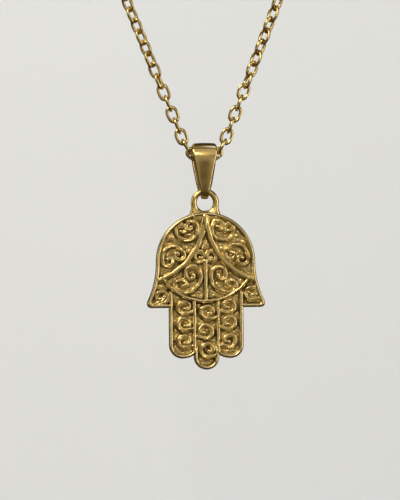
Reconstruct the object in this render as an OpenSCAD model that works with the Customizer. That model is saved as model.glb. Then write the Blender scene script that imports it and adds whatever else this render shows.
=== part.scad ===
// Hamsa pendant on its necklace: a cast hand with a ring, a folded bail, a cable chain and a clasp.
// Millimetres, +Z up. The front of the hand faces -Y, and the wearer's right is at -X.
// The origin is the nape point of the loop, the middle of the stretch that the clasp closes.

/* [Chain] */
// Length of the closed loop, clasp included
loop_len = 450; // [400:5:600]
// Outer length of a link
link_len = 2.82; // [2.6:0.02:3.3]
// Outer width of a link
link_w = 2.05; // [1.9:0.05:2.3]
// Thickness of the link wire
link_wire = 0.46; // [0.36:0.02:0.5]
// Clearance between a wire and the wire or metal that it passes
link_gap = 0.11; // [0.1:0.01:0.14]
// Length that a link gives up, beside that, where the chain turns through the bail
turn_slack = 0.1; // [0.05:0.01:0.12]
// Angle of each front strand from upright
strand_angle = 21.4; // [16:0.2:28]
// Bend between the lowest link and the next one on each side
first_bend = 32; // [28:1:34]
// Bend between that link and the one above it
second_bend = 28; // [22:1:30]

/* [Loop round the neck] */
// Depth of the loop, from the nape to the front strands
neck_depth = 105; // [90:1:125]
// Drop from the nape to where the front strands start to bend back
collar_drop = 56; // [50:1:70]
// How far a strand keeps its front slope as it bends back over the shoulder
shoulder_reach = 64; // [50:1:70]
// How far the chain keeps level as it leaves the clasp
nape_reach = 78; // [65:1:82]

/* [Clasp] */
// Middle diameter of the clasp ring
clasp_ring_d = 5.6; // [5:0.1:7]
// Middle diameter of the small eye beside it
clasp_eye_d = 2.4; // [2.2:0.1:2.8]
// Length of the neck between them
clasp_neck = 1.4; // [0.8:0.1:2]
// Wire of the small eye
clasp_eye_wire = 0.6; // [0.4:0.05:0.8]
// Thickness of the neck
clasp_neck_d = 0.8; // [0.7:0.05:0.9]

/* [Bail] */
// Inner radius of the top bend, which the chain runs through
bail_top_r = 1.3; // [1.3:0.01:1.6]
// Inner radius of the bottom bend, which holds the pendant's ring
bail_foot_r = 0.75; // [0.7:0.01:0.85]
// Distance between the two bends
bail_drop = 5.6; // [5:0.1:7]
// Thickness of the folded strip
bail_t = 0.4; // [0.3:0.02:0.5]
// Width over the top bend
bail_top_w = 3.9; // [3.2:0.1:4]
// Width where the strip starts to narrow to its foot
bail_waist_w = 1.95; // [1.6:0.05:2.4]
// Width under the pendant's ring
bail_foot_w = 1.0; // [0.8:0.05:1.2]

/* [Hand] */
// Radius of the round top of the hand
palm_r = 7.45; // [6.5:0.05:8.5]
// Radius of the hollow curve from the palm to a thumb tip
flare_r = 13.5; // [11:0.5:18]
// Depth of the thumbs' lower edge under the middle of the round top
thumb_drop = 6.9; // [6.4:0.1:7.6]
// Rounding of a thumb tip
thumb_tip_r = 0.6; // [0.2:0.05:0.8]
// Width over the three fingers
fingers_w = 11.2; // [10:0.1:12.4]
// Depth of the outer fingers' ends under the middle of the round top
outer_finger_drop = 14.5; // [13.6:0.1:15]
// Depth of the middle finger's end
middle_finger_drop = 16.2; // [15.4:0.1:17.4]
// Width of the middle finger
middle_finger_w = 3.8; // [3.2:0.1:4.2]
// Rounding of the outer fingers' outer corners
finger_corner_r = 2.0; // [1:0.1:2.6]
// Radius of the outer fingers' ends on the side of the middle finger
finger_end_r = 3.2; // [2.4:0.1:6]
// Thickness of the plate under the relief
plate_t = 1.1; // [0.8:0.05:1.6]
// Height of the raised rim over the field
rim_h = 0.5; // [0.3:0.05:0.7]
// Width of the raised rim
rim_w = 0.62; // [0.5:0.02:0.8]

/* [Ring on the hand] */
// Middle radius of the ring
ring_r = 1.67; // [1.6:0.01:2]
// Wire of the ring
ring_wire = 0.9; // [0.8:0.02:1]
// How far the ring's middle stands over the edge of the palm
ring_stand = 1.4; // [1.3:0.05:1.7]
// Width of the solder fillet at the foot of the ring
ring_foot_w = 4.4; // [4.2:0.1:5]

/* [Relief] */
// Height of the ridges over the field
ridge_h = 0.45; // [0.25:0.05:0.6]
// Height of the scrolls over the field
scroll_h = 0.4; // [0.2:0.05:0.6]
// Width of the two arch ridges over the palm
arch_w = 0.75; // [0.6:0.05:1]
// Width of the thin ridges between the fingers and over the palm
ridge_w = 0.45; // [0.35:0.05:0.6]
// Width of a scroll's strip
scroll_w = 0.42; // [0.3:0.02:0.5]
// Diameter of the bead at a scroll's end
bead_d = 0.56; // [0.5:0.02:0.7]
// Distance of a finger ridge from the middle line
divider_x = 1.78; // [1.6:0.02:2]
// Radius of an arch ridge
arch_r = 10.46; // [10:0.1:11]
// Radius of the curve that closes the palm over the fingers
lens_r = 7.85; // [7.4:0.05:8.4]
// Depth of that curve under the middle of the round top
lens_drop = 5.9; // [5.6:0.05:6.2]

/* [Hidden] */
gold = [0.80, 0.62, 0.30];
arc_fn = 72;
wire_fn = 32;

// Link: two half rings joined by two straight wires
pitch = link_len - 2 * link_wire - link_gap;
reach = (link_len - link_wire) / 2;
bend_r = (link_w - link_wire) / 2;
straight_l = link_len - link_w;

// Clasp: its ring fills the end link's opening, and the last links centre on each side of the nape
clasp_ring_wire = link_w - 2 * link_wire - 2 * link_gap;
link_seat = link_len / 2 - link_wire - link_gap;
ring_seat = link_seat - clasp_ring_wire / 2;
eye_seat = link_seat - clasp_eye_wire / 2;
end_x = (clasp_ring_d + clasp_neck + clasp_eye_d + ring_seat + eye_seat) / 2;

// First links on each side, as an x and a z from the middle of the lowest link: where the chain bends,
// the wires still meet at the same clearance, so the links stand closer
bends = [first_bend, second_bend, 90 - strand_angle - first_bend - second_bend];
lead = len(bends);
lead_grip = link_wire + link_gap + turn_slack;

function slope(i) = i == 0 ? 0 : slope(i - 1) + bends[i - 1];

function lead_step(i) = 2 * reach * cos(bends[i - 1] / 2) - lead_grip;

function lead_point(i) =
    i == 0 ? [0, 0]
    : let (aim = (slope(i - 1) + slope(i)) / 2)
    lead_point(i - 1) + lead_step(i) * [cos(aim), sin(aim)];

lead_len = lead_step(1) + lead_step(2) + lead_step(3);
lead_end = lead_point(lead);
links_a_side = lead + floor((loop_len / 2 - end_x - lead_len) / pitch);
run_len = (links_a_side - lead) * pitch;

// Route of the rest of the right half, to the nape: a straight strand and a curve over the shoulder
up = [sin(strand_angle), 0, cos(strand_angle)];
curve_steps = 120;

function bend_point(front) = [lead_end.x + front * up.x, -neck_depth, -collar_drop];

function shoulder(front) = [
    bend_point(front),
    bend_point(front) + shoulder_reach * up,
    [end_x + nape_reach, 0, 0],
    [end_x, 0, 0]
];

function curve(p, t) =
    pow(1 - t, 3) * p[0] + 3 * t * pow(1 - t, 2) * p[1] + 3 * t * t * (1 - t) * p[2] + t * t * t * p[3];

// Rows of length along the curve and the curve's own parameter
function curve_table(p) = [
    for (i = 0, s = 0; i <= curve_steps;
        i = i + 1,
        s = s + norm(curve(p, i / curve_steps) - curve(p, (i - 1) / curve_steps)))
        [s, i / curve_steps]
];

function curve_len(p) = curve_table(p)[curve_steps][0];

// The straight strand is as long as makes the whole run come to run_len, found by halving
function strand_len(low, high, tries) =
    let (mid = (low + high) / 2)
    tries == 0 ? mid
    : mid + curve_len(shoulder(mid)) > run_len ? strand_len(low, mid, tries - 1)
    : strand_len(mid, high, tries - 1);

front_len = strand_len(0, run_len, 24);
over_shoulder = shoulder(front_len);
shoulder_rows = curve_table(over_shoulder);
low_z = -collar_drop - front_len * up.z - lead_end.y;

function route(s) =
    s < front_len ? bend_point(front_len) - (front_len - s) * up
    : curve(over_shoulder, lookup(s - front_len, shoulder_rows));

function link_at(i) =
    i > lead ? route((i - lead) * pitch)
    : let (p = lead_point(i)) [p.x, -neck_depth, low_z + p.y];

function link_run(i) =
    i > lead ? route((i - lead + 0.5) * pitch) - route((i - lead - 0.5) * pitch)
    : [cos(slope(i)), 0, sin(slope(i))];

// Twist of the chain: links lie flat and edge on by turns at the bail, and at 45 degrees further up
twist_start = 6;
twist_end = 10;
nape_twist_links = 25;
slant = 45;
last_twist = 90 * (links_a_side % 2);
nape_start = links_a_side - nape_twist_links;

function twist(i) = 90 * (i % 2) + lookup(i, [
    [twist_start, 0],
    [twist_end, slant],
    [nape_start, slant],
    [links_a_side, last_twist]
]);

// Heights of the two hinges and of the hand's own middle: the bail's top bend clears the top of the first link
first_link_top = lead_point(1).y + straight_l / 2 * sin(first_bend) + link_w / 2;
bail_z = low_z + first_link_top + link_gap - bail_top_r;
foot_z = bail_z - bail_drop;
ring_z = palm_r + ring_stand;
hand_z = foot_z - ring_z - ring_r;

// Side profile of the bail: two round bends and straight legs, which run a hair inside the common tangent
leg_inset = 0.005;

function leg_point(r_top, r_foot, at_foot) =
    let (lean = (r_foot - r_top) / bail_drop, r = (at_foot ? r_foot : r_top) - leg_inset)
    [r * sqrt(1 - lean * lean), (at_foot ? -bail_drop : 0) + r * lean];

// Heights of the bail's front outline under its top, as shares of the distance between the bends
bail_waist_share = 0.94;
bail_neck_share = 1.1;

// Field of the hand, from which ridges and scrolls rise
root_depth = 0.3;
overlap = 0.05;
joint_d = scroll_w + 0.06;
strip_gap = 0.05;
flare_x = palm_r + flare_r;
// A thumb's round tip cuts a hair into the flare's circle, so that the two meet at a clean edge
tip_cut = 0.01;
tip_to_flare = flare_r + thumb_tip_r - tip_cut;
thumb_tip_x = flare_x - sqrt(pow(tip_to_flare, 2) - pow(thumb_drop - thumb_tip_r, 2));

// An outer finger's end rises from its lowest point towards the middle finger, in four even steps of distance
finger_end_x = fingers_w / 2 - finger_corner_r;
end_steps = [for (i = [0:4]) i / 4 * (finger_end_x - middle_finger_w / 2 + 0.1)];

function finger_rise(r, d) = r - sqrt(r * r - pow(min(d, 0.7 * r), 2));

divider_end = rim_w / 2 - outer_finger_drop + finger_rise(finger_end_r, finger_end_x - divider_x);

// Back of the plate behind the ring's middle, and the foot that joins the ring to the plate
plate_back = 0.72;
foot_sink = 0.7;
foot_h = 1.1;
foot_lip = 0.4;

// Places and ends of the ridges: angles of an arch from its top to the rim, half the angle of the lens curve,
// and the heights where the palm's line and the side fingers' ridges start
arch_x = arch_r + 0.09;
arch_z = 7.13;
arch_top = 184;
arch_end = 250;
lens_half = 57;
palm_line_top = 0.1;
finger_ridge_top = -4.7;

// Scrolls: middle x and z, radius, angles from and to, and the runs of [radius, angle] that continue each end
curl = [[0.75, 170], [0.38, 150]];
long_curl = [[2.6, 35], [0.8, 170], [0.42, 150]];
palm_curl = [[0.85, 200], [0.42, 140]];
palm_top_curl = [[1.1, 190], [0.55, 160]];
hook = [[0.4, 150]];
tail = [[5, 16]];
horn_tail = [[2.5, 18]];
thumb_tail = [[3, 12]];
X = 0;
Z = 1;
RADIUS = 2;
FROM = 3;
TO = 4;
BEFORE = 5;
AFTER = 6;
scrolls = [
    // x, z, radius, from, to, before, after: upper field
    [-2.83, 4.85, 1.65, 185, 395, curl, curl],
    [2.64, 4.92, 1.65, 145, 355, curl, curl],
    // Side fields
    [-4.81, 0.83, 1.60, 15, 150, curl, long_curl],
    [4.62, 0.94, 1.65, 30, 165, long_curl, curl],
    // Palm
    [-3.10, -2.20, 2.35, 245, 380, palm_curl, palm_top_curl],
    [3.10, -2.25, 2.35, 160, 295, palm_top_curl, palm_curl],
    // Pair of horns over the palm
    [-0.92, 0.78, 0.76, 20, 270, hook, horn_tail],
    [0.84, 0.80, 0.76, -90, 160, horn_tail, hook],
    // Thumbs
    [-6.64, -5.37, 0.90, -70, 160, thumb_tail, hook],
    [6.86, -4.88, 0.90, 20, 280, hook, thumb_tail],
    // Left finger
    [-3.42, -6.84, 0.84, 20, 270, hook, tail],
    [-3.38, -9.41, 0.84, 20, 270, hook, tail],
    [-3.36, -11.98, 0.84, 20, 270, hook, tail],
    // Middle finger
    [0.12, -7.62, 0.94, 20, 270, hook, tail],
    [-0.08, -10.48, 0.94, -90, 160, tail, hook],
    [0.10, -13.32, 0.94, 20, 270, hook, tail],
    // Right finger
    [3.42, -6.75, 0.86, -90, 160, tail, hook],
    [3.46, -9.22, 0.86, -90, 160, tail, hook],
    [3.46, -11.90, 0.86, -90, 160, tail, hook]
];

// Rows of x, z, radius, from and to for the runs that continue an end: each starts where the last one stops
function runs(x, z, r, angle, list, sense, i = 0) =
    i == len(list) ? []
    : let (
        next_r = list[i][0],
        next_x = x + (r - next_r) * cos(angle),
        next_z = z + (r - next_r) * sin(angle),
        turned = angle + sense * list[i][1]
    )
    concat([[next_x, next_z, next_r, angle, turned]],
        runs(next_x, next_z, next_r, turned, list, sense, i + 1));

module half_ring(r) {
    rotate_extrude(angle = 180, $fn = wire_fn)
        translate([r, 0])
            circle(d = link_wire, $fn = wire_fn);
}

module link() {
    for (side = [-1, 1]) {
        translate([side * straight_l / 2, 0, 0])
            rotate([0, 0, -90 * side])
                half_ring(bend_r);
        translate([0, side * bend_r, 0])
            rotate([0, 90, 0])
                cylinder(d = link_wire, h = straight_l, center = true, $fn = wire_fn);
    }
}

// One link on the route, on the right side for sense 1 and mirrored to the left for sense -1
module placed_link(i, sense) {
    at = link_at(i);
    run = link_run(i);
    translate([sense * at.x, at.y, at.z])
        rotate([0, 0, atan2(run.y, sense * run.x)])
            rotate([0, -asin(run.z / norm(run)), 0])
                rotate([sense * twist(i), 0, 0])
                    link();
}

module chain_right() {
    color(gold)
        for (i = [0 : links_a_side])
            placed_link(i, 1);
}

module chain_left() {
    color(gold)
        for (i = [1 : links_a_side])
            placed_link(i, -1);
}

module wire_ring(r, wire) {
    rotate([90, 0, 0])
        rotate_extrude($fn = arc_fn)
            translate([r, 0])
                circle(d = wire, $fn = wire_fn);
}

module clasp() {
    eye_x = -end_x + eye_seat + clasp_eye_d / 2;
    color(gold) {
        translate([end_x - ring_seat - clasp_ring_d / 2, 0, 0])
            wire_ring(clasp_ring_d / 2, clasp_ring_wire);
        translate([eye_x, 0, 0])
            wire_ring(clasp_eye_d / 2, clasp_eye_wire);
        translate([eye_x + clasp_eye_d / 2, 0, 0])
            rotate([0, 90, 0])
                cylinder(d = clasp_neck_d, h = clasp_neck, $fn = wire_fn);
    }
}

// The bail's outside or inside over a width along X, with its top bend at the origin
module bail_block(r_top, r_foot, w) {
    top = leg_point(r_top, r_foot, false);
    foot = leg_point(r_top, r_foot, true);
    rotate([90, 0, 90]) {
        cylinder(r = r_top, h = w, center = true, $fn = arc_fn);
        translate([0, -bail_drop, 0])
            cylinder(r = r_foot, h = w, center = true, $fn = arc_fn);
        linear_extrude(w, center = true)
            polygon([top, foot, [-foot.x, foot.y], [-top.x, top.y]]);
    }
}

// Front outline of the bail, from its full width at the top bend to the foot
module bail_front() {
    top_z = bail_top_r + bail_t + overlap;
    foot_end_z = -bail_drop - bail_foot_r - bail_t - overlap;
    right = [
        [bail_top_w / 2, top_z],
        [bail_top_w / 2, 0],
        [bail_waist_w / 2, -bail_waist_share * bail_drop],
        [bail_foot_w / 2, -bail_neck_share * bail_drop],
        [bail_foot_w / 2, foot_end_z]
    ];
    left = [for (i = [len(right) - 1 : -1 : 0]) [-right[i].x, right[i].y]];
    polygon(concat(right, left));
}

module bail() {
    depth = 2 * (bail_top_r + bail_t) + 1;
    color(gold)
        translate([0, -neck_depth, bail_z])
            intersection() {
                difference() {
                    bail_block(bail_top_r + bail_t, bail_foot_r + bail_t, bail_top_w + 1);
                    bail_block(bail_top_r, bail_foot_r, bail_top_w + 2);
                }
                rotate([90, 0, 0])
                    linear_extrude(depth, center = true)
                        bail_front();
            }
}

// Outline of the hand, drawn in by inset for the inner edge of the rim
module hand_outline(inset = 0) {
    half = fingers_w / 2 - inset;
    outer_end = -outer_finger_drop + inset;
    corner = max(finger_corner_r - inset, 0.3);
    end_r = finger_end_r - inset;
    middle_half = middle_finger_w / 2 - inset;
    thumb_end = -thumb_drop + inset;
    tip_r = thumb_tip_r - inset;
    tip_x = thumb_tip_x;
    touch = (flare_x - tip_x) / tip_to_flare;
    touch_x = tip_x + touch * tip_r;
    touch_z = thumb_end + tip_r + tip_r * sqrt(1 - touch * touch);
    circle(palm_r - inset, $fn = arc_fn);
    difference() {
        if (tip_r > 0)
            polygon([
                [-tip_x, thumb_end],
                [tip_x, thumb_end],
                [tip_x, thumb_end + tip_r],
                [touch_x, touch_z],
                [palm_r, 0],
                [-palm_r, 0],
                [-touch_x, touch_z],
                [-tip_x, thumb_end + tip_r]
            ]);
        else
            polygon([
                [-tip_x - thumb_tip_r, thumb_end],
                [tip_x + thumb_tip_r, thumb_end],
                [palm_r, 0],
                [-palm_r, 0]
            ]);
        for (side = [-1, 1])
            translate([side * flare_x, 0])
                circle(flare_r + inset, $fn = 2 * arc_fn);
    }
    if (tip_r > 0)
        for (side = [-1, 1])
            translate([side * tip_x, thumb_end + tip_r])
                circle(tip_r, $fn = arc_fn);
    translate([-half, outer_end + corner])
        square([2 * half, -outer_end - corner]);
    polygon(concat(
        [[-finger_end_x, outer_end + corner + overlap], [finger_end_x, outer_end + corner + overlap]],
        [for (d = end_steps) [finger_end_x - d, outer_end + finger_rise(end_r, d)]],
        [for (i = [len(end_steps) - 1:-1:0])
            [end_steps[i] - finger_end_x, outer_end + finger_rise(end_r, end_steps[i])]]
    ));
    for (side = [-1, 1])
        translate([side * (half - corner), outer_end + corner])
            circle(corner, $fn = arc_fn);
    translate([-middle_half, -middle_finger_drop + inset + middle_half])
        square([2 * middle_half, middle_finger_drop - inset - middle_half]);
    translate([0, -middle_finger_drop + inset + middle_half])
        circle(middle_half, $fn = arc_fn);
}

// A raised strip along a circle
module raised_arc(x, z, r, from, to, w, h) {
    translate([x, z, plate_t - root_depth])
        rotate([0, 0, from])
            rotate_extrude(angle = to - from, $fn = arc_fn)
                translate([r - w / 2, 0])
                    square([w, root_depth + h]);
}

// A raised strip straight down, from one height to another
module raised_line(x, z_from, z_to, w, h) {
    translate([x - w / 2, z_to, plate_t - root_depth])
        cube([w, z_from - z_to, root_depth + h]);
}

module ridges() {
    lens_z = lens_r - lens_drop;
    raised_arc(arch_x, arch_z, arch_r, arch_top, arch_end, arch_w, ridge_h);
    raised_arc(-arch_x, arch_z, arch_r, 180 - arch_end, 180 - arch_top, arch_w, ridge_h);
    raised_arc(0, lens_z, lens_r, 270 - lens_half, 270 + lens_half, ridge_w, ridge_h);
    raised_line(0, palm_line_top, -lens_drop, ridge_w, ridge_h);
    for (side = [-1, 1]) {
        raised_line(side * divider_x, -lens_drop + overlap, divider_end, ridge_w, ridge_h);
        raised_line(side * (fingers_w - rim_w) / 2, finger_ridge_top, -thumb_drop - rim_w, rim_w, ridge_h);
    }
}

// The strip of one row, which stops just short of the beads at its ends
module strip(row) {
    short = strip_gap / row[RADIUS] * 180 / PI;
    raised_arc(row[X], row[Z], row[RADIUS],
        min(row[FROM], row[TO]) + short, max(row[FROM], row[TO]) - short, scroll_w, scroll_h);
}

// A bead on a row's circle
module bead(row, angle, d) {
    translate([row[X] + row[RADIUS] * cos(angle), row[Z] + row[RADIUS] * sin(angle), plate_t - root_depth])
        cylinder(d = d, h = root_depth + scroll_h, $fn = wire_fn);
}

module scroll(s) {
    strip(s);
    bead(s, s[FROM], joint_d);
    bead(s, s[TO], joint_d);
    for (list = [runs(s[X], s[Z], s[RADIUS], s[TO], s[AFTER], 1),
                 runs(s[X], s[Z], s[RADIUS], s[FROM], s[BEFORE], -1)])
        for (i = [0 : len(list) - 1]) {
            strip(list[i]);
            bead(list[i], list[i][TO], i == len(list) - 1 ? bead_d : joint_d);
        }
}

module ring_foot() {
    foot_low = palm_r - foot_sink;
    foot_top_w = 2 * ring_r + foot_lip;
    difference() {
        translate([0, 0, -ring_wire / 2])
            linear_extrude(ring_wire)
                polygon([
                    [-ring_foot_w / 2, foot_low],
                    [ring_foot_w / 2, foot_low],
                    [foot_top_w / 2, foot_low + foot_h],
                    [-foot_top_w / 2, foot_low + foot_h]
                ]);
        translate([0, ring_z, 0])
            cylinder(r = ring_r, h = 2 * ring_wire, center = true, $fn = arc_fn);
    }
}

module hamsa() {
    color(gold)
        translate([0, -neck_depth, hand_z]) {
            translate([0, plate_back, 0])
                rotate([90, 0, 0]) {
                    difference() {
                        linear_extrude(plate_t + rim_h)
                            hand_outline();
                        translate([0, 0, plate_t])
                            linear_extrude(rim_h + 1)
                                hand_outline(rim_w);
                    }
                    ridges();
                    for (s = scrolls)
                        scroll(s);
                }
            translate([0, 0, ring_z])
                wire_ring(ring_r, ring_wire);
            rotate([90, 0, 0])
                ring_foot();
        }
}

chain_left();
chain_right();
clasp();
bail();
hamsa();
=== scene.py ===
"""Looks of a gold-plated hamsa pendant: the cast hand, its folded bail, the cable chain and the clasp."""

import bpy
import numpy as np
from mathutils import Matrix, Vector


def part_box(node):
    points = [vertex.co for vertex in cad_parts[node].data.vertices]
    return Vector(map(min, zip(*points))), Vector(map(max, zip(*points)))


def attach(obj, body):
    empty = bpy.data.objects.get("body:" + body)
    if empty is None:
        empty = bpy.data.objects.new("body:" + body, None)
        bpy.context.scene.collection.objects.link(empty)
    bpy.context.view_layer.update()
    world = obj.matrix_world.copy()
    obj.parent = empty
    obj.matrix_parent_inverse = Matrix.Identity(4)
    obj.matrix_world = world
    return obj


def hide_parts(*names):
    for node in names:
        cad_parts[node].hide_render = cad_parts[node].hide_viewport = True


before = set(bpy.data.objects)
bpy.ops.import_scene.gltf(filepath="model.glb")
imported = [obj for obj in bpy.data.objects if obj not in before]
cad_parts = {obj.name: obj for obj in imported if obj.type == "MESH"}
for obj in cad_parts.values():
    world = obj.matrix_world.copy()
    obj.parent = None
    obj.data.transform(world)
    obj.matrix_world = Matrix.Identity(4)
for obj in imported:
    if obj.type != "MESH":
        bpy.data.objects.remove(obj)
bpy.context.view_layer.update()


# Cast hand
# A flat brass casting with a raised rim, arched ridges, palm and finger lines, and scrolls of wire-like
# ribbon, all in one piece with the ring on top. It is gold plated. Its high metal is made paler, rubbed
# wear with a painted highlight, and the crevices beside it darker, tarnish with painted shade.

MM = 0.001
hand_low, hand_high = [np.array(corner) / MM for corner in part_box("hamsa")]

# The outline, in millimetres from the middle of the palm's circle
PALM_R = 7.45
FLARE_R = 13.5
THUMB_DROP = 6.9
THUMB_TIP_R = 1.1
FINGERS_HALF = 5.6
OUTER_FINGER_DROP = 14.5
FINGER_CORNER_R = 2.0
FINGER_END_R = 3.2
MIDDLE_FINGER_DROP = 16.2
MIDDLE_FINGER_HALF = 1.9
HAND_Z = hand_low[2] + MIDDLE_FINGER_DROP
BACK_Y = hand_high[1]


def round_corner(a, b, r):
    """Depth inside two walls that meet at a corner of radius r: the lesser depth, and near the corner
    r minus the distance from the corner's middle."""
    near = r - np.hypot(np.maximum(r - a, 0), np.maximum(r - b, 0))
    return np.where((a < r) & (b < r), near, np.minimum(a, b))


def outline_depth(x, z):
    """Depth inside the hand's outline, negative outside. Above the palm's middle it is the depth inside
    the palm's circle. Below, it is the greatest of that depth and the depths inside the flared skirt of
    the thumbs, the outer fingers with their rounded ends, and the middle finger."""
    side = np.abs(x)
    palm = PALM_R - np.hypot(x, z)
    flare = np.hypot(side - PALM_R - FLARE_R, z) - FLARE_R
    skirt = round_corner(flare, z + THUMB_DROP, THUMB_TIP_R)
    end = FINGER_END_R - np.hypot(np.maximum(FINGERS_HALF - FINGER_CORNER_R - side, 0),
                                  np.maximum(FINGER_END_R - z - OUTER_FINGER_DROP, 0))
    fingers = round_corner(FINGERS_HALF - side, end, FINGER_CORNER_R)
    middle_z = MIDDLE_FINGER_DROP - MIDDLE_FINGER_HALF
    middle = MIDDLE_FINGER_HALF - np.hypot(x, np.minimum(z + middle_z, 0))
    lower = np.maximum(np.maximum(skirt, fingers), middle)
    return np.where(z > 0, palm, np.maximum(lower, palm))


def arc_distance(x, z, centre_x, centre_z, r, start, stop):
    """Distance to an arc: to its circle within its angles, which are in degrees, and elsewhere to the
    nearer of its ends."""
    turn = np.degrees(np.arctan2(z - centre_z, x - centre_x))
    within = (turn - start) % 360 <= stop - start
    ends = [np.hypot(x - centre_x - r * np.cos(a), z - centre_z - r * np.sin(a))
            for a in np.radians([start, stop])]
    ring = np.abs(np.hypot(x - centre_x, z - centre_z) - r)
    return np.where(within, ring, np.minimum(*ends))


def line_distance(x, z, line_x, top, bottom):
    """Distance to an upright line from top to bottom."""
    return np.hypot(x - line_x, z - np.clip(z, bottom, top))


def mound(distance, half_width, height, fullness=2.0):
    """Height over a line at a distance from it: the height times one minus the share of the half width
    raised to the fullness, which goes on below zero beyond the foot."""
    return height * (1 - (distance / half_width) ** fullness)


def merged(a, b, fillet):
    """The greater of two heights, with a fillet where they cross."""
    blend = np.maximum(fillet - np.abs(a - b), 0) / fillet
    return np.maximum(a, b) + blend * blend * fillet / 4


def grain(x, z, size, seed, waves=18):
    """Uneven metal, mostly between -1 and 1: a sum of plane waves about one size long, with seeded
    directions, lengths and shifts, over the root of their number."""
    rng = np.random.default_rng(seed)
    total = np.zeros_like(x)
    for angle, stretch, shift in zip(rng.uniform(0, np.pi, waves), rng.uniform(0.7, 1.5, waves),
                                     rng.uniform(0, 2 * np.pi, waves)):
        k = 2 * np.pi / (size * stretch)
        total += np.sin(k * (x * np.cos(angle) + z * np.sin(angle)) + shift)
    return total / np.sqrt(waves)


# The smooth ridges: two arches over the palm, and the thin lines of the palm and the fingers
RIM_W = 0.62
RIM_H = 0.5
RIM_SINK = 0.2
ARCH_X = 10.55
ARCH_Z = 7.13
ARCH_R = 10.46
ARCH_FROM = 182
ARCH_TO = 250
ARCH_W = 1.02
ARCH_FULLNESS = 3.6
ARCH_FILLET = 0.5
RIDGE_W = 0.68
RIDGE_H = 0.50
RIDGE_FULLNESS = 2.6
LENS_R = 7.85
LENS_DROP = 5.9
LENS_HALF_SWEEP = 57
PALM_LINE_TOP = 0.1
DIVIDER_X = 1.78
DIVIDER_LAP = 0.1
SIDE_LINE_TOP = -4.7
SIDE_LINE_LAP = 1.0


def rim_height(depth):
    """Height of the rim at a depth inside the outline: its height times the root of one minus the square
    of the way from its crest to its foot, and further in a little below the field."""
    away = 2 * depth / RIM_W - 1
    return RIM_H * np.sqrt(np.clip(1 - away ** 2, 0, None)) - np.where(depth > RIM_W, RIM_SINK, 0)


def arch_height(x, z):
    """Height of the two arches: mirrored arcs that start side by side under the ring, with a fillet
    between them, and part towards the sides of the palm."""
    arches = [mound(arc_distance(sense * x, z, ARCH_X, ARCH_Z, ARCH_R, ARCH_FROM, ARCH_TO),
                    ARCH_W / 2, RIDGE_H, ARCH_FULLNESS) for sense in (1, -1)]
    return merged(*arches, ARCH_FILLET)


def line_height(x, z):
    """Height over the nearest of the thin lines: the arc under the palm, the palm's middle line, the
    dividers between the fingers, and the outer fingers' edges where they run up beside the thumbs."""
    side = np.abs(x)
    lens = arc_distance(x, z, 0, LENS_R - LENS_DROP, LENS_R, 270 - LENS_HALF_SWEEP, 270 + LENS_HALF_SWEEP)
    middle = line_distance(x, z, 0, PALM_LINE_TOP, -LENS_DROP)
    divider = line_distance(side, z, DIVIDER_X, -LENS_DROP + DIVIDER_LAP, -OUTER_FINGER_DROP)
    edge = line_distance(side, z, FINGERS_HALF - RIM_W / 2, SIDE_LINE_TOP, -THUMB_DROP - SIDE_LINE_LAP)
    nearest = np.minimum(np.minimum(lens, middle), np.minimum(divider, edge))
    return mound(nearest, RIDGE_W / 2, RIDGE_H, RIDGE_FULLNESS)


RIBBON_W = 0.84
RIBBON_H = 0.42
RIBBON_FULLNESS = 2.4
RIBBON_UNEVEN = 0.12
GROOVE = 0.06
GROOVE_W = 0.11
BEAD_R = 0.40
BEAD_STAND = 0.02

# Runs of (radius, degrees) that carry on from the main arc of a scroll to its end
CURL = [(0.75, 170), (0.38, 150)]
LONG_CURL = [(2.6, 35), (0.8, 170), (0.42, 150)]
PALM_CURL = [(0.85, 200), (0.42, 140)]
PALM_TOP_CURL = [(1.1, 190), (0.55, 160)]
HOOK = [(0.4, 150)]
TAIL = [(5, 16)]
HORN_TAIL = [(2.5, 18)]
THUMB_TAIL = [(3, 12)]
LEAF_END = [(3, 4)]

# The main arc's x, z, radius and angles in degrees, and the runs before and after it
SCROLLS = [
    (-2.83, 4.85, 1.65, 185, 395, CURL, CURL),
    (2.64, 4.92, 1.65, 145, 355, CURL, CURL),
    (-4.81, 0.83, 1.60, 15, 150, CURL, LONG_CURL),
    (4.62, 0.94, 1.65, 30, 165, LONG_CURL, CURL),
    (-3.10, -2.20, 2.35, 245, 380, PALM_CURL, PALM_TOP_CURL),
    (3.10, -2.25, 2.35, 160, 295, PALM_TOP_CURL, PALM_CURL),
    (-0.92, 0.78, 0.76, 20, 270, HOOK, HORN_TAIL),
    (0.84, 0.80, 0.76, -90, 160, HORN_TAIL, HOOK),
    (-6.64, -5.37, 0.90, -70, 160, THUMB_TAIL, HOOK),
    (6.86, -4.88, 0.90, 20, 280, HOOK, THUMB_TAIL),
    (-7.95, -4.43, 1.85, -87, -32, LEAF_END, LEAF_END),
    (8.14, -3.90, 1.85, 212, 267, LEAF_END, LEAF_END),
    (-3.42, -6.84, 0.84, 20, 270, HOOK, TAIL),
    (-3.38, -9.41, 0.84, 20, 270, HOOK, TAIL),
    (-3.36, -11.98, 0.84, 20, 270, HOOK, TAIL),
    (0.12, -7.62, 0.94, 20, 270, HOOK, TAIL),
    (-0.08, -10.48, 0.94, -90, 160, TAIL, HOOK),
    (0.10, -13.32, 0.94, 20, 270, HOOK, TAIL),
    (3.42, -6.75, 0.86, -90, 160, TAIL, HOOK),
    (3.46, -9.22, 0.86, -90, 160, TAIL, HOOK),
    (3.46, -11.90, 0.86, -90, 160, TAIL, HOOK),
]


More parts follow.
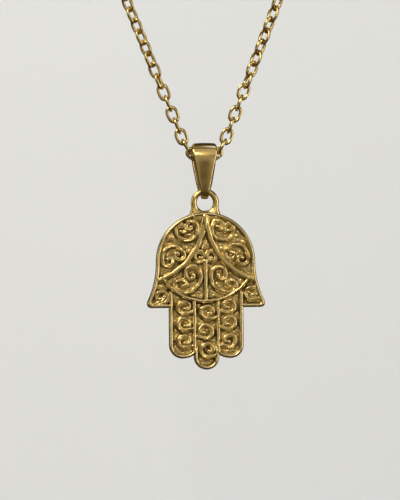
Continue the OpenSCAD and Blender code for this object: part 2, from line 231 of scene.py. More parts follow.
def scroll_arcs(scroll):
    """The arcs of one scroll as (x, z, radius, start, stop), and the points where it ends in a bead. A run
    starts where the one before it stops, with its middle on the same line."""
    x, z, r, start, stop, before, after = scroll
    arcs = [(x, z, r, start, stop)]
    beads = []
    for runs, angle, sense in ((after, stop, 1), (before, start, -1)):
        at_x, at_z, at_r = x, z, r
        for next_r, sweep in runs:
            at_x += (at_r - next_r) * np.cos(np.radians(angle))
            at_z += (at_r - next_r) * np.sin(np.radians(angle))
            at_r = next_r
            turned = angle + sense * sweep
            arcs.append((at_x, at_z, at_r, min(angle, turned), max(angle, turned)))
            angle = turned
        beads.append((at_x + at_r * np.cos(np.radians(angle)), at_z + at_r * np.sin(np.radians(angle))))
    return arcs, beads


def scroll_height(x, z, uneven):
    """Height of the scrolls: a ribbon along every arc, with a shallow groove along its middle and a height
    that rises and falls with the uneven metal, and a bead at each end."""
    ribbon = np.full_like(x, np.inf)
    bead = np.full_like(x, np.inf)
    for arcs, ends in map(scroll_arcs, SCROLLS):
        for arc in arcs:
            ribbon = np.minimum(ribbon, arc_distance(x, z, *arc))
        for end_x, end_z in ends:
            bead = np.minimum(bead, np.hypot(x - end_x, z - end_z))
    groove = GROOVE * np.exp(-(ribbon / GROOVE_W) ** 2)
    ribbon_h = mound(ribbon, RIBBON_W / 2, RIBBON_H, RIBBON_FULLNESS) - groove
    return np.maximum(ribbon_h * (1 + RIBBON_UNEVEN * uneven), mound(bead, BEAD_R, RIBBON_H + BEAD_STAND))


PLATE_T = 1.1
FILLET = 0.08
UNEVEN_SIZE = 1.6
FIELD_WAVE = 0.03
FIELD_GRAIN = 0.018
FIELD_GRAIN_SIZE = 0.5
WANDER = 0.035
WANDER_SIZE = 2.4


def relief(x, z):
    """Height of the front over the back: the plate and its field with a fine grain, merged with the
    arches, the thin lines and the scrolls, which wander a little from their true lines, and the rim."""
    depth = outline_depth(x, z)
    uneven = grain(x, z, UNEVEN_SIZE, seed=3)
    field = FIELD_GRAIN * grain(x, z, FIELD_GRAIN_SIZE, seed=5) + FIELD_WAVE * uneven
    wander_x = WANDER * grain(x, z, WANDER_SIZE, seed=7)
    wander_z = WANDER * grain(x, z, WANDER_SIZE, seed=8)
    x, z = x + wander_x, z + wander_z
    height = merged(field, arch_height(x, z), FILLET)
    height = merged(height, line_height(x, z), FILLET)
    height = merged(height, scroll_height(x, z, uneven), FILLET)
    rim = rim_height(depth)
    return PLATE_T + np.where(depth < RIM_W / 2, rim, merged(height, rim, FILLET))


def local_mean(values, reach):
    """Mean over a square of 2 reach + 1 cells, by running sums along both directions."""
    for axis in (0, 1):
        pad = [(reach + 1, reach) if a == axis else (0, 0) for a in (0, 1)]
        total = np.cumsum(np.pad(values, pad, mode="edge"), axis=axis)
        width = 2 * reach + 1
        ahead = np.take(total, np.arange(width, total.shape[axis]), axis=axis)
        behind = np.take(total, np.arange(0, total.shape[axis] - width), axis=axis)
        values = (ahead - behind) / width
    return values


# The squares of the front and the span that they cover, from the middle of the palm's circle
GRID = 0.07
GRID_SIDE = 9.24
GRID_BOTTOM = -16.4
GRID_TOP = 7.7
# How many squares each way the mean height around a point takes in, and how far under it a recess is deep
CALM_REACH = 4
DEEP_RECESS = 0.13


def front_grid():
    """Points of the front in the plane, its faces, and the recess at each point, from a grid of squares
    over the outline. Recess is how far a point lies under the mean height around it, as a share of a deep
    one, and it is negative on a crest."""
    xs = np.arange(-GRID_SIDE, GRID_SIDE + GRID / 2, GRID)
    zs = np.arange(GRID_BOTTOM, GRID_TOP, GRID)
    x, z = np.meshgrid(xs, zs, indexing="ij")
    depth = outline_depth(x, z)
    keep = depth > -GRID / 2
    cell = keep[:-1, :-1] & keep[1:, :-1] & keep[1:, 1:] & keep[:-1, 1:]
    index = np.arange(x.size).reshape(x.shape)
    corners = [index[:-1, :-1], index[1:, :-1], index[1:, 1:], index[:-1, 1:]]
    used, quads = np.unique(np.stack([corner[cell] for corner in corners], 1), return_inverse=True)

    height = relief(x, z)
    calm = local_mean(np.where(depth < 0, PLATE_T, height), CALM_REACH)
    recess = np.clip((calm - height) / DEEP_RECESS, -1, 1)
    return x.ravel()[used], z.ravel()[used], quads.reshape(-1, 4), recess.ravel()[used]


def border_edges(quads, count):
    """Edges that only one face has, as two point numbers in the order in which that face has them."""
    edges = np.concatenate([quads[:, [k, (k + 1) % 4]] for k in range(4)])
    codes = edges[:, 0] * count + edges[:, 1]
    return edges[~np.isin(codes, edges[:, 1] * count + edges[:, 0])]


def inward(x, z, step=1e-4):
    """Direction in which the outline's depth grows, from its differences over two steps."""
    gx = outline_depth(x + step, z) - outline_depth(x - step, z)
    gz = outline_depth(x, z + step) - outline_depth(x, z - step)
    size = np.maximum(np.hypot(gx, gz), 1e-9)
    return gx / size, gz / size


# Inset from the outline and height over the back, where the edge is rounded off to the back
BACK_EDGE = [(0.0, 0.2), (0.04, 0.06), (0.16, 0.0)]
# Shares of the way from there to the middle of the back
BACK_RINGS = [0.35, 0.7]
BACK_MIDDLE_Z = -4.0


def casting():
    """Points and faces of the plate, and the recess of its front. The front's border is moved onto the
    outline in three steps. From there the edge is carried back, rounded, and gathered in rings to the
    middle of the back."""
    x, z, quads, recess = front_grid()
    border, edge = np.unique(border_edges(quads, len(x)), return_inverse=True)
    for _ in range(3):
        gx, gz = inward(x[border], z[border])
        gap = outline_depth(x[border], z[border])
        x[border] -= gap * gx
        z[border] -= gap * gz
    points = [np.stack([x, BACK_Y - relief(x, z), z + HAND_Z], 1)]

    gx, gz = inward(x[border], z[border])
    levels = [(x[border] + inset * gx, z[border] + inset * gz, up) for inset, up in BACK_EDGE]
    flat_x, flat_z, _ = levels[-1]
    for share in BACK_RINGS:
        levels.append((flat_x * (1 - share), BACK_MIDDLE_Z + (flat_z - BACK_MIDDLE_Z) * (1 - share), 0.0))
    for at_x, at_z, up in levels:
        points.append(np.stack([at_x, np.full_like(at_x, BACK_Y - up), at_z + HAND_Z], 1))
    points.append(np.array([[0, BACK_Y, BACK_MIDDLE_Z + HAND_Z]]))

    faces = [quads]
    start, stop = edge.reshape(-1, 2).T
    rings = [border] + [len(x) + k * len(border) + np.arange(len(border)) for k in range(len(levels))]
    for upper, under in zip(rings[:-1], rings[1:]):
        faces.append(np.stack([upper[stop], upper[start], under[start], under[stop]], 1))
    middle = np.full(len(start), len(x) + len(levels) * len(border))
    faces.append(np.stack([rings[-1][stop], rings[-1][start], middle], 1))
    return np.concatenate(points), faces, recess


RING_HOLE_R = 1.22
RING_WIRE_R = 0.45
RING_STAND = 1.4
RING_OFF_BACK = 0.72
RING_FOOT_OUT = 0.75
RING_FOOT_SIDE = 0.12
RING_ALONG = 96
RING_AROUND = 28


def tube_faces(around, along):
    """Faces of a closed tube whose points go once round the wire at each place along it."""
    i, j = np.meshgrid(np.arange(along), np.arange(around), indexing="ij")
    next_i = (i + 1) % along
    next_j = (j + 1) % around
    corners = [i * around + j, i * around + next_j, next_i * around + next_j, next_i * around + j]
    return np.stack(corners, 2).reshape(-1, 4)


def cast_ring():
    """Points of the ring: a wire round a hole, which swells outward towards its foot in the plate."""
    turn, wire = np.meshgrid(np.linspace(0, 2 * np.pi, RING_ALONG, endpoint=False),
                             np.linspace(0, 2 * np.pi, RING_AROUND, endpoint=False), indexing="ij")
    from_foot = np.abs((turn + np.pi) % (2 * np.pi) - np.pi)
    swell = np.exp(-from_foot ** 6)
    out = RING_HOLE_R + (RING_WIRE_R + RING_FOOT_OUT * swell) * (1 + np.cos(wire))
    side = (RING_WIRE_R + RING_FOOT_SIDE * swell) * np.sin(wire)
    z = PALM_R + RING_STAND - out * np.cos(turn)
    return np.stack([out * np.sin(turn), BACK_Y - RING_OFF_BACK + side, z + HAND_Z], 2).reshape(-1, 3)


def new_piece(name, points, faces, body, replaced):
    """Makes a smooth-shaded piece from points in millimetres and arrays of faces, which rides on a body
    and stands for CAD nodes, which it hides."""
    mesh = bpy.data.meshes.new(name)
    mesh.vertices.add(len(points))
    mesh.vertices.foreach_set("co", (points * MM).astype(np.float32).ravel())
    corners = np.concatenate([f.ravel() for f in faces])
    sizes = np.concatenate([np.full(len(f), f.shape[1]) for f in faces])
    mesh.loops.add(len(corners))
    mesh.loops.foreach_set("vertex_index", corners.astype(np.int32))
    mesh.polygons.add(len(sizes))
    mesh.polygons.foreach_set("loop_start", (np.cumsum(sizes) - sizes).astype(np.int32))
    mesh.polygons.foreach_set("use_smooth", np.ones(len(sizes), bool))
    mesh.update(calc_edges=True)
    mesh.validate()
    piece = bpy.data.objects.new(name, mesh)
    bpy.context.scene.collection.objects.link(piece)
    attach(piece, body)
    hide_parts(*replaced)
    return piece


plate_points, plate_faces, plate_recess = casting()
hand_points = np.concatenate([plate_points, cast_ring()])
hand_faces = plate_faces + [tube_faces(RING_AROUND, RING_ALONG) + len(plate_points)]
hand = new_piece("hamsa_casting", hand_points, hand_faces, "hamsa", ["hamsa"])
# The recess attribute drives the painted shade in the hollows and the painted highlight on the crests.
recess_layer = hand.data.attributes.new("recess", "FLOAT", "POINT")
hand_recess = np.pad(plate_recess, (0, len(hand_points) - len(plate_recess)))
recess_layer.data.foreach_set("value", hand_recess.astype(np.float32))


def new_node(material, kind, values):
    """Adds a node of a kind to a material and sets its inputs by name or number. A mix mixes colours."""
    node = material.node_tree.nodes.new("ShaderNode" + kind)
    if kind == "Mix":
        node.data_type = "RGBA"
    for entry, value in values.items():
        node.inputs[entry].default_value = value
    return node


def link_nodes(material, *pairs):
    """Joins pairs of (node, output) and (node, input)."""
    for (source, output), (target, entry) in pairs:
        material.node_tree.links.new(source.outputs[output], target.inputs[entry])


def wear_and_painted_light(material, place, tone, polish, dark):
    """Wear and painted light by the recess attribute, between a plating's tone and polish and its metal:
    crests are made pale, rubbed wear with a painted highlight, and recesses take a patchy darker colour,
    tarnish with painted shade, which is dull. Gives the outputs for colour and polish."""
    recess = material.node_tree.nodes.new("ShaderNodeAttribute")
    recess.attribute_name = "recess"
    # Crests are made pale here: partly rubbed wear, partly a painted highlight.
    rubbed_and_sheen = new_node(material, "MapRange", {"From Min": -0.2, "From Max": -0.9, "To Max": 0.45})
    pale = new_node(material, "Mix", {"B": (0.95, 0.85, 0.60, 1)})
    # Recesses are darkened here: partly tarnish, partly painted shade.
    sunk = new_node(material, "MapRange", {"From Min": 0.15, "From Max": 0.7})
    patch = new_node(material, "TexNoise", {"Scale": 420, "Detail": 2})
    worn = new_node(material, "MapRange", {"From Min": 0.38, "From Max": 0.62,
                                           "To Min": 0.35, "To Max": 1.0})
    tarnish_and_shade_share = material.node_tree.nodes.new("ShaderNodeMath")
    tarnish_and_shade_share.operation = "MULTIPLY"
    tarnish_and_shade = new_node(material, "Mix", {"B": (*dark, 1)})
    dull = new_node(material, "Math", {1: 0.4})
    dull.operation = "MULTIPLY_ADD"
    link_nodes(material,
               ((place, "Object"), (patch, "Vector")),
               ((patch, "Fac"), (worn, "Value")),
               ((recess, "Fac"), (rubbed_and_sheen, "Value")),
               ((rubbed_and_sheen, "Result"), (pale, "Factor")),
               ((tone, "Result"), (pale, "A")),
               ((recess, "Fac"), (sunk, "Value")),
               ((sunk, "Result"), (tarnish_and_shade_share, 0)),
               ((worn, "Result"), (tarnish_and_shade_share, 1)),
               ((tarnish_and_shade_share, "Value"), (tarnish_and_shade, "Factor")),
               ((pale, "Result"), (tarnish_and_shade, "A")),
               ((tarnish_and_shade_share, "Value"), (dull, 0)),
               ((polish, "Result"), (dull, 2)))
    return (tarnish_and_shade, "Result"), (dull, "Value")


def plating(name, colour, shade, roughness, scratch_scale, scratch, dark=None):
    """Gold plating: a metal whose colour drifts between two tones, with uneven polish and fine scratches.
    Where a dark colour is given, its crests are also made pale, rubbed wear with a painted highlight, and
    its recesses darker, tarnish with painted shade."""
    material = bpy.data.materials.new(name)
    material.use_nodes = True
    metal = material.node_tree.nodes["Principled BSDF"]
    metal.inputs["Metallic"].default_value = 1.0
    place = new_node(material, "TexCoord", {})
    cloud = new_node(material, "TexNoise", {"Scale": 700, "Detail": 3})
    tone = new_node(material, "Mix", {"A": (*colour, 1), "B": (*shade, 1)})
    polish = new_node(material, "MapRange", {"From Min": 0.3, "From Max": 0.7,
                                             "To Min": roughness * 0.8, "To Max": roughness * 1.3})
    fine = new_node(material, "TexNoise", {"Scale": scratch_scale, "Detail": 4})
    bump = new_node(material, "Bump", {"Strength": scratch, "Distance": 0.00003})
    colour_from, polish_from = (tone, "Result"), (polish, "Result")
    if dark is not None:
        colour_from, polish_from = wear_and_painted_light(material, place, tone, polish, dark)
    link_nodes(material,
               ((place, "Object"), (cloud, "Vector")),
               ((place, "Object"), (fine, "Vector")),
               ((cloud, "Fac"), (tone, "Factor")),
               ((cloud, "Fac"), (polish, "Value")),
               ((fine, "Fac"), (bump, "Height")),
               ((bump, "Normal"), (metal, "Normal")),
               (colour_from, (metal, "Base Color")),
               (polish_from, (metal, "Roughness")))
    return material


# The dark colour is tarnish and painted shade in the recesses; the pale crests are wear and a painted
# highlight.
hand.data.materials.append(plating("hand_gold", (0.88, 0.70, 0.32), (0.80, 0.60, 0.23), roughness=0.22,
                                   scratch_scale=9000, scratch=0.10, dark=(0.09, 0.055, 0.02)))


# Bail
# A strip of sheet metal folded over the chain and closed round the hand's ring, broad at the top bend and
# narrowed to a small foot. Its face is slightly crowned, its edges are rolled off, and it is polished and
# gold plated.

bail_low, bail_high = [np.array(corner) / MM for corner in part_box("bail")]
BAIL_TOP_R = 1.3
BAIL_FOOT_R = 0.75
BAIL_T = 0.4
BAIL_TOP_Z = bail_high[2] - BAIL_TOP_R - BAIL_T
BAIL_FOOT_Z = bail_low[2] + BAIL_FOOT_R + BAIL_T
BAIL_DROP = BAIL_TOP_Z - BAIL_FOOT_Z
BAIL_Y = (bail_low[1] + bail_high[1]) / 2
# Lengths over which the bends fade into the legs, and how many rows of points the strip has
TOP_FADE = 1.9
FOOT_FADE = 0.6
STRIP_ALONG = 180


def faded(values, reach):
    """A closed row of values, each replaced by a mean of its neighbours that weighs less with distance."""
    shifts = np.arange(-int(reach), int(reach) + 1)
    weights = 1 - np.abs(shifts) / (int(reach) + 1)
    return sum(w * np.roll(values, k) for w, k in zip(weights, shifts)) / weights.sum()


def fold_line():
    """Middle line of the strip in its side view, as y, z, the outward direction and how far to the front.
    It bends round the top and the foot, and each bend fades into the straight legs. It is the sum of its
    own directions, turned until both legs lean alike, and the little that it fails to close by is shared
    out along it."""
    top, foot = BAIL_TOP_R + BAIL_T / 2, BAIL_FOOT_R + BAIL_T / 2
    lean = np.arcsin((foot - top) / BAIL_DROP)
    leg = BAIL_DROP * np.cos(lean)
    ends = np.cumsum([top * (np.pi - 2 * lean), leg, foot * (np.pi + 2 * lean), leg])
    s, step = np.linspace(0, ends[-1], STRIP_ALONG, endpoint=False, retstep=True)
    bend = faded(np.where(s < ends[0], 1 / top, 0), TOP_FADE / step)
    bend += faded(np.where((s > ends[1]) & (s < ends[2]), 1 / foot, 0), FOOT_FADE / step)
    angle = np.cumsum(bend) * 2 * np.pi / bend.sum()
    angle += (3 * np.pi - np.interp([ends[0] + leg / 2, ends[2] + leg / 2], s, angle).sum()) / 2
    out_y, out_z = np.cos(angle), np.sin(angle)
    y, z = -np.cumsum(out_z), np.cumsum(out_y)
    y -= y[-1] * s / s[-1]
    y = top * (2 * (y - y.min()) / np.ptp(y) - 1)
    z = top - (top + BAIL_DROP + foot) * (z.max() - z) / np.ptp(z)
    return y, z, out_y, out_z, (1 - out_y) / 2


# Height over the middle of the top bend, and half the strip's width there on the front and on the back
STRIP_WIDTHS = np.array([
    (-7.0, 0.52, 0.52),
    (-6.1, 0.56, 0.56),
    (-5.2, 0.74, 1.02),
    (-4.1, 1.00, 1.28),
    (-1.8, 1.42, 1.70),
    (-0.3, 1.80, 1.93),
    (0.4, 1.90, 1.95),
    (1.1, 1.86, 1.90),
    (1.7, 1.66, 1.70),
])
CROWN = 0.12
CROWN_HALF = 1.95
ROLL = 0.15
ROLL_W = 0.24
FACE_POINTS = 33
INSIDE_POINTS = 7


def folded_strip():
    """Points of the strip: a section with a face that falls off from its middle by the square of the
    distance, edges rolled off by the square of the way past their start, and a flat inside, carried along
    the fold line."""
    y, z, out_y, out_z, front = fold_line()
    heights, front_half, back_half = STRIP_WIDTHS.T
    half = front * np.interp(z, heights, front_half) + (1 - front) * np.interp(z, heights, back_half)
    share = np.concatenate([np.linspace(-1, 1, FACE_POINTS), np.linspace(1, -1, INSIDE_POINTS + 2)[1:-1]])
    outer = np.arange(len(share)) < FACE_POINTS
    x = half[:, None] * share
    from_edge = half[:, None] * (1 - np.abs(share))
    crown = CROWN * (x / CROWN_HALF) ** 2
    rolled = ROLL * np.clip(1 - from_edge / ROLL_W, 0, None) ** 2
    offset = np.where(outer, BAIL_T / 2 - crown - rolled, -BAIL_T / 2)
    points = np.stack([x, y[:, None] + offset * out_y[:, None], z[:, None] + offset * out_z[:, None]], 2)
    return points.reshape(-1, 3) + np.array([0, BAIL_Y, BAIL_TOP_Z])


# The section runs against the turn of a tube's wire, so the faces are turned round to point outwards
strip_faces = tube_faces(FACE_POINTS + INSIDE_POINTS, STRIP_ALONG)[:, ::-1]
bail = new_piece("bail_strip", folded_strip(), [strip_faces], "bail", ["bail"])
bail.data.materials.append(plating("bail_gold", (0.86, 0.67, 0.32), (0.77, 0.575, 0.235), roughness=0.18,
                                   scratch_scale=5000, scratch=0.015))


# Cable chain
# Oval links of round gold-plated wire, each soldered closed and turned a quarter round from the next. The
# lowest link lies in the bail, the strands run up to the shoulders, and the loop closes behind the neck.

LINK_LEN = 2.82
LINK_W = 2.05
LINK_WIRE = 0.46
LINK_GAP = 0.11
TURN_SLACK = 0.1
STRAND_ANGLE = 21.4
FIRST_BENDS = [32, 28]
BENDS = FIRST_BENDS + [90 - STRAND_ANGLE - sum(FIRST_BENDS)]
LOOP_LEN = 450
NECK_DEPTH = 105
COLLAR_DROP = 56
SHOULDER_REACH = 64
NAPE_REACH = 78
STRAND_UP = np.array([np.sin(np.radians(STRAND_ANGLE)), 0, np.cos(np.radians(STRAND_ANGLE))])

# The clasp, for its length at the end of the loop
CLASP_RING_D = 5.6
CLASP_EYE_D = 2.4
CLASP_NECK = 1.4
CLASP_EYE_WIRE = 0.6
CLASP_RING_WIRE = LINK_W - 2 * LINK_WIRE - 2 * LINK_GAP

PITCH = LINK_LEN - 2 * LINK_WIRE - LINK_GAP
LINK_SEAT = LINK_LEN / 2 - LINK_WIRE - LINK_GAP
RING_SEAT = LINK_SEAT - CLASP_RING_WIRE / 2
EYE_SEAT = LINK_SEAT - CLASP_EYE_WIRE / 2
END_X = (CLASP_RING_D + CLASP_NECK + CLASP_EYE_D + RING_SEAT + EYE_SEAT) / 2


def first_links():
    """Places and slopes of the links in the turn, in the front plane: each is one step on from the last,
    and where the chain bends the step is the hooked wires' distance."""
    slopes = np.concatenate([[0], np.cumsum(BENDS)])
    half_bend = np.radians(BENDS) / 2
    steps = (LINK_LEN - LINK_WIRE) * np.cos(half_bend) - (LINK_WIRE + LINK_GAP + TURN_SLACK)
    aim = np.radians((slopes[:-1] + slopes[1:]) / 2)
    x = np.concatenate([[0], np.cumsum(steps * np.cos(aim))])
    z = np.concatenate([[0], np.cumsum(steps * np.sin(aim))])
    return x, z, np.radians(slopes), steps.sum()


def shoulder_curve(start, samples=401):
    """The cubic curve from the strand over the shoulder to the nape, sampled, with its length from the
    start: each sample is the mean of four corners, weighted by the terms of ((1 - t) + t) cubed."""
    corners = [start, start + SHOULDER_REACH * STRAND_UP, [END_X + NAPE_REACH, 0, 0], [END_X, 0, 0]]
    t = np.linspace(0, 1, samples)
    weights = np.stack([(1 - t) ** 3, 3 * t * (1 - t) ** 2, 3 * t * t * (1 - t), t ** 3], 1)
    points = weights @ np.array(corners)
    run = np.concatenate([[0], np.cumsum(np.linalg.norm(np.diff(points, axis=0), axis=1))])
    return points, run


def fitted_strand(lead_x, length, halvings=24):
    """Length of the straight strand, and the curve above it, so that the two together have a length. It is
    found by halving its range. The strand starts at the end of the turn and ends at the collar."""
    low, high = 0.0, length
    for _ in range(halvings):
        strand = (low + high) / 2
        points, run = shoulder_curve(np.array([lead_x + strand * STRAND_UP[0], -NECK_DEPTH, -COLLAR_DROP]))
        if strand + run[-1] > length:
            high = strand
        else:
            low = strand
    return strand, points, run


# Between these two links the twist drifts by 45 degrees, and over the last ones to what the clasp needs
TWIST_FROM = 6
TWIST_TO = 10
TWIST_BACK = 25


def half_loop():
    """Places, directions and twists of the links on the right half, from the lowest one to the nape: the
    links of the turn, then one for each pitch along the strand and the curve."""
    lead_x, lead_z, lead_slope, lead_len = first_links()
    lead = len(BENDS)
    count = lead + int((LOOP_LEN / 2 - END_X - lead_len) / PITCH)
    strand, points, run = fitted_strand(lead_x[-1], (count - lead) * PITCH)
    low_z = -COLLAR_DROP - strand * STRAND_UP[2] - lead_z[-1]

    def route(s):
        """Points at lengths along the straight strand and the curve."""
        straight = points[0] - (strand - s)[:, None] * STRAND_UP
        curved = np.stack([np.interp(s - strand, run, points[:, axis]) for axis in range(3)], 1)
        return np.where((s < strand)[:, None], straight, curved)

    s = PITCH * np.arange(1, count - lead + 1)
    ahead = route(s + PITCH / 2) - route(s - PITCH / 2)
    first = np.stack([lead_x, np.full(lead + 1, -NECK_DEPTH), low_z + lead_z], 1)
    first_run = np.stack([np.cos(lead_slope), np.zeros(lead + 1), np.sin(lead_slope)], 1)
    at = np.concatenate([first, route(s)])
    run_dir = np.concatenate([first_run, ahead / np.linalg.norm(ahead, axis=1)[:, None]])
    i = np.arange(count + 1)
    drift = np.interp(i, [TWIST_FROM, TWIST_TO, count - TWIST_BACK, count], [0, 45, 45, 90 * (count % 2)])
    return at, run_dir, np.radians(90 * (i % 2) + drift)


# The wire's six-sided section is drawn wider, to the area of the round one, and the link a hair shorter
SEEN_WIRE = 0.5
SEEN_LEN = LINK_LEN - 0.03
CUT_HALF = 0.95
OVAL_POWER = 2.25
LINK_ALONG = 14
LINK_AROUND = 6


def oval_link():
    """Points of one link with its length along x: a round wire carried round an oval, which is a
    superellipse between a plain ellipse and a stadium, with both long sides cut flat at a set distance
    from the middle."""
    turn = np.linspace(0, 2 * np.pi, LINK_ALONG, endpoint=False)
    wire = np.linspace(0, 2 * np.pi, LINK_AROUND, endpoint=False)
    a, b = (SEEN_LEN - SEEN_WIRE) / 2, (LINK_W - SEEN_WIRE) / 2
    cx = a * np.sign(np.cos(turn)) * np.abs(np.cos(turn)) ** (2 / OVAL_POWER)
    cy = b * np.sign(np.sin(turn)) * np.abs(np.sin(turn)) ** (2 / OVAL_POWER)
    tx, ty = np.roll(cx, -1) - np.roll(cx, 1), np.roll(cy, -1) - np.roll(cy, 1)
    size = np.hypot(tx, ty)
    out = SEEN_WIRE / 2 * np.cos(wire)
    x = cx[:, None] + out * (ty / size)[:, None]
    y = np.clip(cy[:, None] - out * (tx / size)[:, None], -CUT_HALF, CUT_HALF)
    z = np.tile(SEEN_WIRE / 2 * np.sin(wire), (LINK_ALONG, 1))
    return np.stack([x, y, z], 2).reshape(-1, 3)


def turns(first, second, angles):
    """Matrices that turn one axis towards another, one matrix for each angle."""
    matrices = np.tile(np.eye(3), (len(angles), 1, 1))
    matrices[:, first, first] = matrices[:, second, second] = np.cos(angles)
    matrices[:, second, first] = np.sin(angles)
    matrices[:, first, second] = -np.sin(angles)
    return matrices


def placed_links(sense, first):
    """All links of one half as one mesh: the oval link turned by its twist, tilted by its slope, swung to
    its heading and moved to its place, for every link at once."""
    at, run, twist = half_loop()
    at = at[first:] * [sense, 1, 1]
    run = run[first:] * [sense, 1, 1]
    heading = np.arctan2(run[:, 1], run[:, 0])
    tilt = -np.arcsin(run[:, 2])
    turn = turns(0, 1, heading) @ turns(2, 0, tilt) @ turns(1, 2, sense * twist[first:])
    link = oval_link()
    points = link @ turn.transpose(0, 2, 1) + at[:, None, :]
    # The oval runs against the turn of a tube's wire, so the faces are turned round to point outwards
    faces = tube_faces(LINK_AROUND, LINK_ALONG)[:, ::-1] + len(link) * np.arange(len(at))[:, None, None]
    return points.reshape(-1, 3), faces.reshape(-1, 4)


chain_gold = plating("chain_gold", (0.88, 0.70, 0.34), (0.76, 0.565, 0.225), roughness=0.13,
                     scratch_scale=7000, scratch=0.04)
for name, sense, first in (("chain_right", 1, 0), ("chain_left", -1, 1)):
    link_points, link_faces = placed_links(sense, first)
    chain = new_piece(name + "_links", link_points, [link_faces], "chain", [name])
    chain.data.materials.append(chain_gold)


# Clasp
# Behind the neck the loop is closed by a plain ring, with a small eye on a short neck beside it, in one
# piece and plated as the chain is. The end link of one strand sits in the eye, and that of the other
# hangs in the ring.

CLASP_NECK_R = 0.4
NECK_WAIST = 0.72
RING_X = END_X - RING_SEAT - CLASP_RING_D / 2
EYE_X = -END_X + EYE_SEAT + CLASP_EYE_D / 2
ROUND_ALONG = 72
ROUND_AROUND = 20
NECK_ROWS = 17
NECK_AROUND = 24


def round_ring(x, r, wire_r):
    """Points of a plain ring in the front plane: a circle of wire about a circle."""
    turn, wire = np.meshgrid(np.linspace(0, 2 * np.pi, ROUND_ALONG, endpoint=False),
                             np.linspace(0, 2 * np.pi, ROUND_AROUND, endpoint=False), indexing="ij")
    out = r + wire_r * np.cos(wire)
    return np.stack([x + out * np.sin(turn), wire_r * np.sin(wire), -out * np.cos(turn)], 2).reshape(-1, 3)


def neck_bar():
    """Points of the neck: a round bar along x, which is thinnest halfway and flares into both rings by the
    square of the way from there."""
    share, turn = np.meshgrid(np.linspace(-1, 1, NECK_ROWS),
                              np.linspace(0, 2 * np.pi, NECK_AROUND, endpoint=False), indexing="ij")
    x = EYE_X + CLASP_EYE_D / 2 + CLASP_NECK * (1 + share) / 2
    r = CLASP_NECK_R * (NECK_WAIST + (1 - NECK_WAIST) * share ** 2)
    return np.stack([x, r * np.cos(turn), r * np.sin(turn)], 2).reshape(-1, 3)


def bar_faces():
    """Faces between the rows of the bar's points, and a flat many-sided cap on the first and last row."""
    i, j = np.meshgrid(np.arange(NECK_ROWS - 1), np.arange(NECK_AROUND), indexing="ij")
    here, ahead = i * NECK_AROUND, (i + 1) * NECK_AROUND
    turn = (j + 1) % NECK_AROUND
    sides = np.stack([here + j, here + turn, ahead + turn, ahead + j], 2).reshape(-1, 4)
    row = np.arange(NECK_AROUND)
    return sides, np.stack([row[::-1], row + (NECK_ROWS - 1) * NECK_AROUND])


big_ring = round_ring(RING_X, CLASP_RING_D / 2, CLASP_RING_WIRE / 2)
small_ring = round_ring(EYE_X, CLASP_EYE_D / 2, CLASP_EYE_WIRE / 2)
ring_faces = tube_faces(ROUND_AROUND, ROUND_ALONG)
bar_sides, bar_ends = bar_faces()
bar_start = len(big_ring) + len(small_ring)
clasp = new_piece("clasp_ring", np.concatenate([big_ring, small_ring, neck_bar()]),
                  [ring_faces, ring_faces + len(big_ring), bar_sides + bar_start, bar_ends + bar_start],
                  "chain", ["clasp"])
clasp.data.materials.append(chain_gold)


# Studio
# A pale paper floor that curves up into a wall, clear when seen from behind. The metal mirrors a dim
# room and soft panels instead: a key at the upper left, weaker ones above and in front, narrow ones at
# the sides for lines along the edges, and two behind.

FLOOR_Z = -0.45
FLOOR_FRONT_Y = -1.3
WALL_Y = 0.42
WALL_TOP_Z = 1.6
SWEEP_R = 0.25
HALF_W = 1.6


def sweep_points(steps=25):
    """Rows of the backdrop, left and right: the floor from in front, a quarter turn of a set radius, and
    the wall."""
    turn = np.linspace(0, np.pi / 2, steps)
    y = np.concatenate([[FLOOR_FRONT_Y], WALL_Y - SWEEP_R + SWEEP_R * np.sin(turn), [WALL_Y]])
    z = np.concatenate([[FLOOR_Z], FLOOR_Z + SWEEP_R * (1 - np.cos(turn)), [WALL_TOP_Z]])
    left = np.stack([np.full_like(y, -HALF_W), y, z], 1)
    right = np.stack([np.full_like(y, HALF_W), y, z], 1)
    return np.concatenate([left, right])


def one_sided_paper():
    """Matt paper that is clear where its back is seen."""
    material = bpy.data.materials.new("studio_paper")
    material.use_nodes = True
    nodes = material.node_tree.nodes
    matt = nodes["Principled BSDF"]
    matt.inputs["Base Color"].default_value = (0.69, 0.71, 0.74, 1)
    matt.inputs["Roughness"].default_value = 0.9
    side_seen = nodes.new("ShaderNodeNewGeometry")
    clear = nodes.new("ShaderNodeBsdfTransparent")
    one_sided = nodes.new("ShaderNodeMixShader")
    link_nodes(material,
               ((side_seen, "Backfacing"), (one_sided, "Fac")),
               ((matt, "BSDF"), (one_sided, 1)),
               ((clear, "BSDF"), (one_sided, 2)),
               ((one_sided, "Shader"), (nodes["Material Output"], "Surface")))
    return material


sweep = sweep_points()
per_side = len(sweep) // 2
row = np.arange(per_side - 1)
sweep_faces = np.stack([row, row + per_side, row + per_side + 1, row + 1], 1)
backdrop_mesh = bpy.data.meshes.new("studio_sweep")
backdrop_mesh.from_pydata(sweep.tolist(), [], sweep_faces.tolist())
backdrop_mesh.materials.append(one_sided_paper())
backdrop = bpy.data.objects.new("studio_sweep", backdrop_mesh)
backdrop.visible_glossy = False
bpy.context.scene.collection.objects.link(backdrop)

SUBJECT = Vector((0, -NECK_DEPTH * MM, HAND_Z * MM))


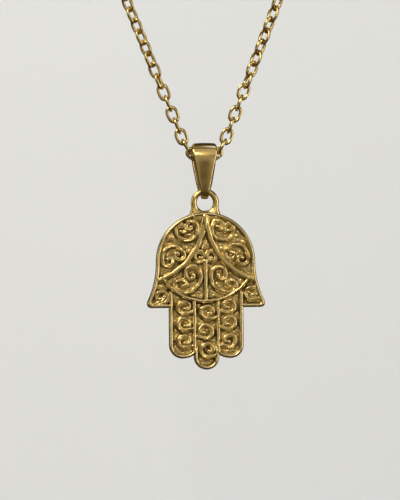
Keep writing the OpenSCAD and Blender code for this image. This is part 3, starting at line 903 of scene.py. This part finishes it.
def soft_light(name, offset, width, height, power, colour, in_metal=True):
    """An area light at an offset from the hand, turned to it, which shows in the metal or not."""
    lamp = bpy.data.lights.new(name, "AREA")
    lamp.shape = "RECTANGLE"
    lamp.size, lamp.size_y = width, height
    lamp.energy = power
    lamp.color = colour
    holder = bpy.data.objects.new(name, lamp)
    holder.location = SUBJECT + Vector(offset)
    holder.rotation_euler = (-Vector(offset)).to_track_quat("-Z", "Y").to_euler()
    holder.visible_glossy = in_metal
    bpy.context.scene.collection.objects.link(holder)


def panel(name, offset, width, height, radiance, colour):
    """A panel that shows in the metal: its power is its radiance times pi times its area."""
    soft_light(name, offset, width, height, radiance * np.pi * width * height, colour)


SOFT_WARM = (1.0, 0.92, 0.77)
WARM = (1.0, 0.91, 0.73)
WHITE = (1.0, 1.0, 0.99)

panel("key_left", (-0.44, -0.46, 0.52), 0.32, 0.32, 7.0, (1.0, 0.92, 0.73))
panel("key_right", (0.17, -0.14, 0.66), 0.15, 0.30, 1.9, (0.42, 0.53, 0.85))
panel("overhead", (0.0, -0.16, 0.72), 0.9, 0.36, 0.16, (1.0, 0.9, 0.71))
panel("sky", (0.05, -0.62, 0.46), 1.0, 0.56, 0.46, SOFT_WARM)
panel("front_above", (0.05, -0.80, 0.11), 1.0, 0.38, 0.26, SOFT_WARM)
panel("front_left", (-0.28, -0.80, -0.18), 0.52, 0.28, 0.26, WARM)
panel("front_right", (0.38, -0.80, -0.18), 0.52, 0.28, 0.34, WARM)
panel("edge_right", (0.62, -0.34, 0.06), 0.20, 0.60, 3.6, (1.0, 0.93, 0.78))
panel("side_left", (-0.62, -0.02, 0.10), 0.16, 0.30, 2.5, (1.0, 0.94, 0.8))
panel("glint", (-0.095, -0.76, 0.30), 0.045, 0.10, 17.0, WARM)
panel("glow", (-0.01, -0.76, 0.27), 0.20, 0.24, 0.6, (1.0, 0.8, 0.48))
panel("back_above", (-0.30, 0.36, 0.40), 0.34, 0.34, 1.6, SOFT_WARM)
panel("back_level", (0.22, 0.42, 0.02), 0.50, 0.50, 0.30, SOFT_WARM)
soft_light("wall_wash", (0.0, 0.20, 0.85), 1.2, 0.4, 7.0, WHITE, in_metal=False)
soft_light("wall_fill", (0.0, -0.90, 0.50), 0.8, 0.8, 5.0, WHITE, in_metal=False)

room = bpy.data.worlds.new("studio_room")
room.use_nodes = True
room.node_tree.nodes["Background"].inputs["Color"].default_value = (0.062, 0.048, 0.024, 1)
room.node_tree.nodes["Background"].inputs["Strength"].default_value = 1.0
bpy.context.scene.world = room


# Camera
# It looks level from a little to the left of the front, at 0.6 metres, is turned by the small lean that
# the pendant has in its picture, and frames 60 by 75 millimetres.

# The picture's size and the place of the palm's middle in it, in pixels, and millimetres for each pixel
PICTURE_W = 400
PICTURE_H = 500
PALM_U = 205.5
PALM_V = 261.6
PIXEL = 0.15
AZIMUTH = -3.5
ROLL = 0.65
DISTANCE = 0.60
SENSOR = 24

camera_data = bpy.data.cameras.new("camera")
camera_data.sensor_fit = "VERTICAL"
camera_data.sensor_height = SENSOR
camera_data.lens = SENSOR * DISTANCE / (PICTURE_H * PIXEL * MM)
camera = bpy.data.objects.new("camera", camera_data)
lean = np.radians(ROLL)
across = (PICTURE_W / 2 - PALM_U) * PIXEL
down = (PICTURE_H / 2 - PALM_V) * PIXEL
centre_x = across * np.cos(lean) - down * np.sin(lean)
centre_z = -(across * np.sin(lean) + down * np.cos(lean))
camera.matrix_world = (Matrix.Translation(SUBJECT) @ Matrix.Rotation(np.radians(AZIMUTH), 4, "Z")
                       @ Matrix.Translation((centre_x * MM, -DISTANCE, centre_z * MM))
                       @ Matrix.Rotation(lean, 4, "Y") @ Matrix.Rotation(np.pi / 2, 4, "X"))
bpy.context.scene.collection.objects.link(camera)
bpy.context.scene.camera = camera
bpy.context.scene.view_settings.view_transform = "Standard"
